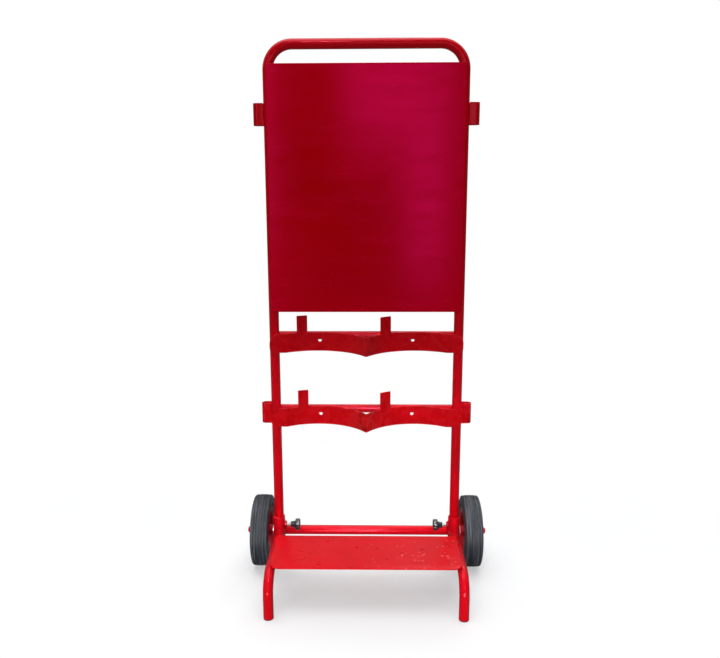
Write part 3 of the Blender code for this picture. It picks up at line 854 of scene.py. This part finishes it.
def makeFootCap(word):
    node = word + "_foot_cap"
    low, high = corners(node)
    radius = (high.x - low.x) / 2
    centre = (low + high) / 2
    lip = 0.003
    stem = radius - 0.0023
    profile = filleted([
        (0, high.z, 0), (stem, high.z, 0.0012), (stem, lip, 0), (radius, lip, 0.0003),
        (radius, 0.0, 0.0011), (radius * 0.72, 0.0, 0.0004), (radius * 0.66, 0.0010, 0.0004), (0, 0.0010, 0),
    ], steps=4)
    mesh = latheMesh(word + "FootInsert", profile, 48)
    mesh.transform(Matrix.Translation((centre.x, centre.y, 0)))
    addPiece(word + "FootInsert", mesh, "foot", "base", "foot_plastic", node)


trayPlate = {"cornerRadius": 0.025, "backCorner": 0.006, "edgeRadius": 0.0009}


def makeTray():
    low, high = corners("tray")
    front, back = trayPlate["cornerRadius"], trayPlate["backCorner"]
    outline = filleted([
        (low.x, low.y, front), (high.x, low.y, front), (high.x, high.y, back), (low.x, high.y, back),
    ], closed=True, steps=12)
    mesh = plateMesh("trayPlate", [outline], high.z - low.z, trayPlate["edgeRadius"])
    mesh.transform(Matrix.Translation((0, 0, (low.z + high.z) / 2)))
    addPiece("trayPlate", mesh, "tray", "base", "red_powder_coat", "tray")


def makeAxle():
    low, high = corners("axle_tube")
    radius = (high.z - low.z) / 2
    y, z = (low.y + high.y) / 2, (low.z + high.z) / 2
    rodLow, rodHigh = corners("axle_rod")
    rodRadius = (rodHigh.z - rodLow.z) / 2
    bore = rodRadius + contactGap
    edge = 0.0006
    profile = filleted([
        (bore, -high.x, edge), (radius, -high.x, edge), (radius, high.x, edge), (bore, high.x, edge),
    ], closed=True, steps=3)
    mesh = latheMesh("axleTube", profile, 48, closed=True)
    mesh.transform(outward(1, 0, y, z))
    addPiece("axleTube", mesh, "base", "base", "red_powder_coat", "axle_tube")
    profile = filleted([
        (0, rodLow.x, 0), (rodRadius, rodLow.x, 0.0012), (rodRadius, rodHigh.x, 0.0012), (0, rodHigh.x, 0),
    ], steps=3)
    mesh = latheMesh("axleRod", profile, 40)
    mesh.transform(outward(1, 0, y, z))
    addPiece("axleRod", mesh, "zinc", "base", "zinc_steel", "axle_rod")
    for side, word in sides:
        for level in ("inner", "outer"):
            node = f"{word}_{level}_washer"
            outer, thick, face, _ = turned(node)
            profile = filleted([
                (bore, 0, 0), (outer, 0, 0.0004), (outer, thick, 0.0004), (bore, thick, 0),
            ], closed=True, steps=3)
            name = f"{word}{level.title()}Washer"
            mesh = latheMesh(name, profile, 48, closed=True)
            mesh.transform(outward(side, side * face, y, z))
            addPiece(name, mesh, "zinc", "base", "zinc_steel", node)


axleCap = {"wall": 0.0036, "bore": 0.0083}


def makeAxleCap(word, side):
    # pressed cap pushed over the rod's end, with a rolled rim
    node = word + "_axle_cap"
    radius, length, face, centre = turned(node)
    inside = axleCap["wall"]
    profile = filleted([
        (0, length, 0), (radius * 0.55, length, 0.0030), (radius * 0.80, length - 0.0022, 0.0015),
        (radius * 0.90, length - 0.0040, 0.0010), (radius * 0.90, 0.0032, 0.0006),
        (radius, 0.0024, 0.0004), (radius, 0, 0.0004),
        (axleCap["bore"], 0, 0), (axleCap["bore"], length - inside, 0), (0, length - inside, 0),
    ], steps=5)
    mesh = latheMesh(word + "AxleCap", profile, 40)
    mesh.transform(outward(side, side * face, centre.y, centre.z))
    addPiece(word + "AxleCap", mesh, "rim", "base", "red_powder_coat", node)


makeTray()
makeAxle()
for side, word in sides:
    makeSleeve(word, side)
    makeClampBoss(word, side)
    makeSideRail(word, side)
    makeFootCap(word)
    makeAxleCap(word, side)
print("base made")


# ---- wheels

tyre = {
    "grooves": 5, "grooveWidth": 0.0032, "grooveDepth": 0.0024, "treadHalf": 0.0205,
    "crown": 0.0012, "turns": 128, "nibCount": 72,
}
rim = {"sheet": 0.0015, "seatShare": 0.56545, "flangeRise": 0.0080, "flangeInset": 0.0039, "turns": 96}
hub = {"wall": 0.003, "bushBore": 0.0082}
rivet = {"headRadius": 0.0055, "shankRadius": 0.003, "headHeight": 0.0028, "count": 4}


def treadLine(outer):
    # tread side of the tyre's section: a crowned face with round-bottomed grooves
    points = []
    steps = 132
    half = tyre["treadHalf"]
    pitch = 2 * half / (tyre["grooves"] + 0.6)
    for step in range(steps + 1):
        height = half - 2 * half * step / steps
        radius = outer - tyre["crown"] * (height / half) ** 2
        for index in range(tyre["grooves"]):
            centre = (index - (tyre["grooves"] - 1) / 2) * pitch
            away = abs(height - centre) / (tyre["grooveWidth"] / 2)
            if away < 1.0:
                radius -= tyre["grooveDepth"] * (1 - away ** 4)
        points.append((radius, height))
    return points


def tyreSection(outer, half, seat):
    shoulder = filleted([
        (outer - tyre["crown"], tyre["treadHalf"], 0), (outer - 0.0035, half - 0.0022, 0.0025),
        (outer - 0.0100, half - 0.0002, 0.004), (outer - 0.0125, half - 0.0002, 0.0006),
        (outer - 0.0130, half - 0.0010, 0.0003), (outer - 0.0190, half - 0.0002, 0.0030),
        (seat + 0.0135, half - 0.0008, 0.003), (seat + 0.0100, half - 0.0030, 0.001),
        (seat + 0.0092, half - 0.0060, 0.001), (seat + 0.0019, half - 0.0100, 0),
    ], steps=4)
    upper = shoulder[1:]
    lower = [(radius, -height) for radius, height in upper]
    return list(reversed(upper)) + treadLine(outer) + lower


def makeTyre(word, side):
    node = word + "_tyre"
    outer, width, _, centre = turned(node)
    half = width / 2
    section = tyreSection(outer, half, outer * rim["seatShare"])
    mesh = latheMesh(word + "Tyre", section, tyre["turns"], closed=True)
    nib = bpy.data.meshes.new("nib")
    work = bmesh.new()
    bmesh.ops.create_uvsphere(work, u_segments=8, v_segments=6, radius=1.0)
    bmesh.ops.scale(work, vec=(0.0026, 0.00045, 0.0004), verts=work.verts)
    bmesh.ops.translate(work, vec=(0, 0, half - 0.00035), verts=work.verts)
    work.to_mesh(nib)
    work.free()
    nibs = grow("nibs", nib, ringOfPieces, {
        "Count": tyre["nibCount"], "Circle Radius": outer - 0.0265, "First Angle": 0.0,
        "Finish": coats["rubber"],
    })
    work = bmesh.new()
    work.from_mesh(mesh)
    work.from_mesh(nibs)
    nibs.transform(Matrix.Rotation(math.pi, 4, "X"))
    work.from_mesh(nibs)
    work.to_mesh(mesh)
    work.free()
    mesh.transform(outward(side, *centre))
    item = finishMesh(word + "Tyre", mesh, "rubber", 50.0)
    settle(item, word + "_wheel", "tyre_rubber", node)


def rimLine(seat, flange):
    # half rim's sheet, hub hole to rolled flange, by distance from the wheel's middle plane
    return filleted([
        (0.0148, 0.0011, 0), (0.0200, 0.0011, 0.002), (0.0215, 0.0034, 0.002), (0.0245, 0.0034, 0.002),
        (0.0260, 0.0011, 0.002), (0.0335, 0.0011, 0.002), (seat - 0.0110, 0.0011, 0.0040),
        (seat - 0.0045, 0.0062, 0.0040), (seat, flange - 0.0037, 0.0040),
        (seat + 0.0030, flange - 0.0011, 0.0025), (seat + rim["flangeRise"], flange, 0),
    ], steps=5)


def sheetSection(line, thickness):
    # closed section of a sheet that follows a line, with a round outer lip
    front, back = [], []
    for index, (x, y) in enumerate(line):
        before = Vector(line[max(index - 1, 0)])
        after = Vector(line[min(index + 1, len(line) - 1)])
        along = (after - before).normalized()
        normal = Vector((-along.y, along.x)) * thickness / 2
        front.append((x + normal.x, y + normal.y))
        back.append((x - normal.x, y - normal.y))
    tip = Vector(line[-1])
    lip = []
    lead = (tip - Vector(line[-2])).normalized()
    for step in range(1, 8):
        angle = math.pi / 2 - math.pi * step / 8
        normal = Vector((-lead.y, lead.x))
        place = tip + (lead * math.cos(angle) + normal * math.sin(angle)) * thickness * 0.75
        lip.append(tuple(place))
    return front + lip + list(reversed(back))


def makeRim(word, side, level):
    node = f"{word}_{level}_rim"
    outer, width, _, centre = turned(word + "_tyre")
    facing = side if level == "outer" else -side
    line = rimLine(outer * rim["seatShare"], width / 2 - rim["flangeInset"])
    name = f"{word}{level.title()}Rim"
    mesh = latheMesh(name, sheetSection(line, rim["sheet"]), rim["turns"], closed=True)
    mesh.transform(outward(facing, *centre))
    addPiece(name, mesh, "rim", word + "_wheel", "red_powder_coat", node)


def makeHub(word, side):
    node = word + "_hub_tube"
    radius, length, _, centre = turned(node)
    half = length / 2
    bore = radius - hub["wall"]
    profile = filleted([
        (bore, -half, 0.0005), (radius, -half, 0.0008), (radius, half, 0.0008), (bore, half, 0.0005),
    ], closed=True, steps=3)
    mesh = latheMesh(word + "Hub", profile, 56, closed=True)
    mesh.transform(outward(side, *centre))
    addPiece(word + "Hub", mesh, "rim", word + "_wheel", "red_powder_coat", node)
    for level in ("inner", "outer"):
        node = f"{word}_{level}_bush"
        outer, length, _, centre = turned(node)
        half, bore = length / 2, hub["bushBore"]
        profile = filleted([
            (bore, -half, 0.0006), (outer, -half, 0.0004), (outer, half, 0.0004), (bore, half, 0.0006),
        ], closed=True, steps=3)
        name = f"{word}{level.title()}Bush"
        mesh = latheMesh(name, profile, 48, closed=True)
        mesh.transform(outward(side, *centre))
        addPiece(name, mesh, "nylon", word + "_wheel", "white_nylon", node)


def makeRivets(word, side):
    # one rivet turned, then copied round the rim
    _, length, _, place = turned(word + "_rim_rivet_1")
    centre = turned(word + "_tyre")[3]
    offset = Vector((place.y - centre.y, place.z - centre.z))
    half = length / 2
    head, shank, rise = rivet["headRadius"], rivet["shankRadius"], rivet["headHeight"]
    top = filleted([
        (0, half, 0), (head * 0.60, half - rise * 0.15, 0.002), (head, half - rise * 0.75, 0.0006),
        (head, half - rise, 0.0003), (shank, half - rise, 0),
    ], steps=4)
    profile = top + [(radius, -height) for radius, height in reversed(top)]
    mesh = latheMesh("rivet", profile, 24)
    ring = grow("rivets", mesh, ringOfPieces, {
        "Count": rivet["count"], "Circle Radius": offset.length, "First Angle": math.radians(45),
        "Finish": coats["zinc"],
    })
    ring.transform(outward(side, *centre))
    nodes = [f"{word}_rim_rivet_{index}" for index in range(1, rivet["count"] + 1)]
    addPiece(word + "Rivets", ring, "zinc", word + "_wheel", "zinc_steel", *nodes)


for side, word in sides:
    makeTyre(word, side)
    makeHub(word, side)
    makeRivets(word, side)
    for level in ("inner", "outer"):
        makeRim(word, side, level)
print("wheels made")


# ---- clamps

knob = {
    "lobes": 8, "lobeDepth": 0.0016, "headLength": 0.0125, "neckRadius": 0.0088, "tipRadius": 0.0075,
    "turns": 96, "floor": 0.003,
}
stud = {"pitch": 0.00125}


def makeKnob(word, side):
    # lobed grip on a tapered neck, turned ring by ring with the lobes fading out at the edges
    node = word + "_clamp_knob"
    radius, length, face, centre = turned(node)
    head = knob["headLength"]
    profile = filleted([
        (0, 0.0007, 0), (radius * 0.50, 0.0007, 0.0006), (radius * 0.56, 0, 0.0006),
        (radius, 0.0, 0.0030), (radius, head, 0.0018), (knob["neckRadius"] + 0.0012, head, 0.0015),
        (knob["neckRadius"], head + 0.003, 0.002), (knob["tipRadius"], length, 0.0008),
        (studBore, length, 0.0003), (studBore, knob["floor"], 0), (0, knob["floor"], 0),
    ], steps=6)
    mesh = latheMesh(word + "Knob", profile, knob["turns"])
    for vert in mesh.vertices:
        away = math.hypot(vert.co.x, vert.co.y)
        share = (away - radius * 0.72) / (radius * 0.28)
        if share > 0 and vert.co.z < head + 0.001:
            angle = math.atan2(vert.co.y, vert.co.x)
            scallop = max(0.0, math.cos(knob["lobes"] * angle)) ** 1.5
            shrink = 1 - knob["lobeDepth"] * scallop * share / away
            vert.co.x *= shrink
            vert.co.y *= shrink
    mesh.transform(outward(side, side * face, centre.y, centre.z))
    addPiece(word + "Knob", mesh, "knob", word + "_knob", "black_plastic", node)


def makeStud(word, side):
    node = word + "_clamp_stud"
    radius, length, face, centre = turned(node)
    empty = bpy.data.meshes.new("empty")
    mesh = grow(word + "Thread", empty, screwThread, {
        "Length": length, "Pitch": stud["pitch"], "Major Radius": radius, "Finish": coats["zinc"],
    })
    mesh.transform(outward(side, side * face, centre.y, centre.z))
    addPiece(word + "Stud", mesh, "zinc", word + "_stud", "zinc_steel", node)


for side, word in sides:
    makeKnob(word, side)
    makeStud(word, side)
print("clamps made")


# ---- weld runs

weld = {"width": 0.0045, "spacing": 0.0016, "unevenness": 0.10}


def makeWelds(name, body, paths, width, seed):
    mesh = bpy.data.meshes.new(name)
    work = bmesh.new()
    for path in paths:
        verts = [work.verts.new(point) for point in path]
        for first, second in zip(verts, verts[1:]):
            work.edges.new((first, second))
    work.to_mesh(mesh)
    work.free()
    run = grow(name, mesh, weldBead, {
        "Bead Width": width, "Ripple Spacing": weld["spacing"], "Unevenness": weld["unevenness"],
        "Seed": seed, "Finish": coats["weld"],
    })
    settle(finishMesh(name, run, "weld", 60.0), body, "red_powder_coat")


def saddlePath(side, radius, sleeveRadius, z, start=0.0, stop=2 * math.pi, steps=40):
    # where a tube along Y meets the front of a sleeve
    points = []
    for step in range(steps + 1):
        angle = start + (stop - start) * step / steps
        across = radius * math.cos(angle)
        y = uprightY - math.sqrt(sleeveRadius ** 2 - across ** 2)
        points.append((side * uprightX + across, y, z + radius * math.sin(angle)))
    return points


def baseWelds():
    paths = []
    trayLow, trayHigh = corners("tray")
    axleLow, axleHigh = corners("axle_tube")
    axleY = (axleLow.y + axleHigh.y) / 2
    axleZ = (axleLow.z + axleHigh.z) / 2
    axleRadius = (axleHigh.z - axleLow.z) / 2
    for side, word in sides:
        sleeveRadius = sleeveRadiusOf(word)
        railZ = corners(word + "_side_rail")[1].z - tubeRadius
        paths.append(saddlePath(side, tubeRadius + 0.0004, sleeveRadius, railZ))
        for lift in (-1, 1):
            x = side * uprightX
            z = axleZ + lift * axleRadius * 0.62
            y = axleY - axleRadius * 0.62
            points = []
            for step in range(13):
                across = (step / 6 - 1) * sleeveRadius * 0.62
                surface = uprightY + math.sqrt(sleeveRadius ** 2 - across ** 2)
                points.append((x + across, (surface + y) / 2, z))
            paths.append(points)
        edge = side * (abs(trayHigh.x) + 0.0006)
        for start in (0.016, 0.078):
            y = trayHigh.y - start
            paths.append([(edge, y, trayLow.z + 0.0006), (edge, y - 0.028, trayLow.z + 0.0006)])
    return paths


def bossWelds():
    paths = []
    for side, word in sides:
        low, high = corners(word + "_clamp_boss")
        sleeveLow, sleeveHigh = corners(word + "_sleeve")
        sleeveRadius = (sleeveHigh.y - sleeveLow.y) / 2
        radius = (high.z - low.z) / 2 + 0.0002
        z = (low.z + high.z) / 2
        points = []
        for step in range(41):
            angle = 2 * math.pi * step / 40
            across = radius * math.cos(angle)
            x = side * (uprightX - math.sqrt(sleeveRadius ** 2 - across ** 2) - 0.0003)
            points.append((x, uprightY + across, z + radius * math.sin(angle)))
        paths.append(points)
    return paths


def frameWelds():
    paths = []
    for level in ("upper", "lower"):
        low, high = corners(level + "_cradle")
        barLow, barHigh = corners(level + "_crossbar")
        barZ = (barLow.z + barHigh.z) / 2
        barRadius = (barHigh.z - barLow.z) / 2
        for side, word in sides:
            end = abs(high.x)
            padBack = uprightY - tubeRadius + 0.0006
            top = low.z + cradle["height"]
            corner = cradle["topCorner"]
            centre = Vector((end - corner, top - corner))
            arc = []
            for step in range(15):
                angle = math.radians(4 + 78 * step / 14)
                x = centre.x + (corner - 0.0010) * math.cos(angle)
                z = centre.y + (corner - 0.0010) * math.sin(angle)
                depth = min(abs(x - uprightX), tubeRadius * 0.98)
                y = uprightY - math.sqrt(tubeRadius ** 2 - depth ** 2)
                arc.append((side * x, (y + padBack) / 2 - 0.0008, z))
            paths.append(arc)
            inner = side * (uprightX - tubeRadius * 0.62)
            wedge = uprightY - tubeRadius * 0.90
            paths.append([(inner, wedge, low.z + 0.006), (inner, wedge, top - 0.006)])
            for lift in (-1, 1):
                z = barZ + lift * barRadius * 0.60
                points = []
                for step in range(9):
                    x = uprightX - tubeRadius * 0.80 + step / 8 * tubeRadius * 1.0
                    depth = min(abs(x - uprightX), tubeRadius)
                    surface = uprightY + math.sqrt(tubeRadius ** 2 - depth ** 2)
                    points.append((side * x, (surface + barLow.y + barRadius * 0.25) / 2, z))
                paths.append(points)
            loopLow, loopHigh = corners(f"{word}_{level}_side_loop")
            valleyX = side * (uprightX + tubeRadius * 0.93)
            valleyY = uprightY - tubeRadius * 0.60
            for start in (loopLow.z + 0.002, loopHigh.z - 0.011):
                paths.append([(valleyX, valleyY, start), (valleyX, valleyY, start + 0.009)])
            backX = side * (uprightX + tubeRadius * 0.55)
            backY = uprightY + tubeRadius * 0.92
            paths.append([(backX, backY, loopLow.z + 0.004), (backX, backY, loopHigh.z - 0.004)])
    boardLow, boardHigh = corners("header_board")
    for side, word in sides:
        x = side * (uprightX - tubeRadius * 0.55)
        y = boardHigh.y + 0.0012
        for share in (0.03, 0.34, 0.64, 0.92):
            z = boardLow.z + (boardHigh.z - boardLow.z) * share
            paths.append([(x, y, z), (x, y, z + 0.026)])
    return paths


makeWelds("baseWelds", "base", baseWelds(), weld["width"], 3)
makeWelds("bossWelds", "base", bossWelds(), 0.0032, 5)
makeWelds("frameWelds", "upper_frame", frameWelds(), 0.0038, 7)
print("welds made")


# ---- studio: pale floor, soft lights and the camera

studio = {
    "floorSize": 30.0, "floorTone": colour(0.90, 0.90, 0.90),
    "bounceTone": colour(0.20, 0.20, 0.20), "clearFrom": 0.5, "clearTo": 1.3,
    "seen": 1.0, "above": 0.62, "level": 0.10, "below": 0.03, "behindCamera": 0.80,
}
cameraView = {
    "distance": 1.860, "side": 0.008, "height": 1.062,
    "pitch": 11.52, "yaw": 1.05, "roll": 0.19,
    "lens": 36.25, "shiftX": 0.0051, "shiftY": -0.0011,
}


def makeFloor():
    # pale floor that the camera sees fade to the white surround away from the truck
    mesh = bpy.data.meshes.new("floor")
    work = bmesh.new()
    bmesh.ops.create_grid(work, x_segments=2, y_segments=2, size=studio["floorSize"] / 2)
    work.to_mesh(mesh)
    work.free()
    finish = Finish("floorPaint", {"Roughness": 0.9, "IOR": 1.3})
    away = finish.node("ShaderNodeVectorMath", {"operation": "LENGTH"}, {0: finish.place()}, out=1)
    fade = finish.fit(away, studio["clearFrom"], studio["clearTo"], 0.40, 1.0)
    seen = finish.node("ShaderNodeLightPath", out=0)
    glow = finish.node("ShaderNodeEmission", {}, {"Color": colour(1, 1, 1), "Strength": studio["seen"]})
    paint = Wire(finish, finish.shader.outputs[0])
    mixed = finish.node("ShaderNodeMixShader", {}, {0: fade * seen, 1: paint, 2: glow})
    finish.paint({"Base Color": finish.blend(seen, studio["bounceTone"], studio["floorTone"])})
    finish.feed(finish.tree.nodes["Material Output"].inputs[0], mixed)
    mesh.materials.append(finish.material)
    floor = bpy.data.objects.new("floor", mesh)
    floor.location = (0, 0, -0.0004)
    bpy.context.scene.collection.objects.link(floor)


def makeLight(name, place, aim, size, power, tint=(1, 1, 1), spread=180):
    lamp = bpy.data.lights.new(name, "AREA")
    lamp.shape = "RECTANGLE"
    lamp.size, lamp.size_y = size
    lamp.energy = power
    lamp.color = tint
    lamp.spread = math.radians(spread)
    item = bpy.data.objects.new(name, lamp)
    item.location = place
    item.rotation_euler = (Vector(aim) - Vector(place)).to_track_quat("-Z", "Y").to_euler()
    bpy.context.scene.collection.objects.link(item)


def makeWorld():
    # the eye sees plain white; surfaces get a room that is bright overhead and dim behind the camera
    world = bpy.data.worlds.new("studioWorld")
    world.use_nodes = True
    graph = Graph(world.node_tree)
    world.node_tree.nodes.clear()
    direction = graph.node("ShaderNodeTexCoord")
    heightUp = graph.node("ShaderNodeSeparateXYZ", {}, {0: direction}, out=2)
    ahead = graph.node("ShaderNodeSeparateXYZ", {}, {0: direction}, out=1)

    def ramp(value, low, high, first, last):
        settings = {"interpolation_type": "SMOOTHSTEP"}
        return graph.node("ShaderNodeMapRange", settings, {0: value, 1: low, 2: high, 3: first, 4: last})

    ceiling = ramp(heightUp, 0.05, 0.80, studio["level"], studio["above"])
    dimming = ramp(ahead, -0.9, 0.2, 1.0 - studio["behindCamera"], 1.0)
    room = ceiling * dimming + ramp(heightUp, -0.5, 0.0, studio["below"], 0.0)
    seen = graph.node("ShaderNodeBackground", {}, {"Color": colour(1, 1, 1), "Strength": studio["seen"]})
    light = graph.node("ShaderNodeBackground", {}, {"Color": colour(0.93, 0.96, 1.0), "Strength": room})
    eye = graph.node("ShaderNodeLightPath", out=0)
    mixed = graph.node("ShaderNodeMixShader", {}, {0: eye, 1: light, 2: seen})
    target = world.node_tree.nodes.new("ShaderNodeOutputWorld")
    graph.feed(target.inputs[0], mixed)
    bpy.context.scene.world = world


def makeCamera():
    pitch, yaw, roll = (math.radians(cameraView[name]) for name in ("pitch", "yaw", "roll"))
    ahead = Vector((-math.sin(yaw) * math.cos(pitch), math.cos(yaw) * math.cos(pitch), -math.sin(pitch)))
    across = Vector((math.cos(yaw), math.sin(yaw), 0))
    above = across.cross(ahead)
    right = across * math.cos(roll) - above * math.sin(roll)
    up = across * math.sin(roll) + above * math.cos(roll)
    lens = bpy.data.cameras.new("camera")
    lens.lens = cameraView["lens"]
    lens.sensor_width = 36.0
    lens.shift_x, lens.shift_y = cameraView["shiftX"], cameraView["shiftY"]
    lens.clip_start, lens.clip_end = 0.05, 60.0
    camera = bpy.data.objects.new("camera", lens)
    turn = Matrix((right, up, -ahead)).transposed().to_4x4()
    place = Matrix.Translation((cameraView["side"], uprightY - cameraView["distance"], cameraView["height"]))
    camera.matrix_world = place @ turn
    bpy.context.scene.collection.objects.link(camera)
    bpy.context.scene.camera = camera


makeFloor()
makeWorld()
makeCamera()
makeLight("overhead", (-0.4, -0.3, 7.0), (0, 0, 0.3), (7.0, 6.0), 340)
makeLight("frontTopCard", (0.42, -2.7, 1.66), (0.1, 0, 1.2), (1.5, 0.7), 8.5, (0.80, 0.88, 1.0))
makeLight("frontSideCard", (0.84, -2.7, 0.85), (0.1, 0, 1.0), (0.55, 0.9), 4.2, (0.80, 0.88, 1.0))
makeLight("frontLow", (-0.1, -1.2, 0.05), (0, 0, 0.02), (1.2, 0.10), 0.8, spread=28)
makeLight("frontMiddle", (0.0, -2.2, 1.4), (0, 0, 0.39), (0.7, 0.2), 1.0, (0.86, 0.91, 1.0), spread=17)
makeLight("windowLeft", (-1.55, -2.3, 1.3), (0, 0, 0.5), (0.16, 1.9), 10)
makeLight("spotTop", (-0.35, -2.2, 3.0), (0, 0, 0.3), (0.22, 0.22), 12)
makeLight("backFill", (1.2, 2.8, 3.4), (0, 0, 0.6), (1.8, 1.4), 26)
bpy.context.scene.view_settings.view_transform = "Standard"
print("studio made")
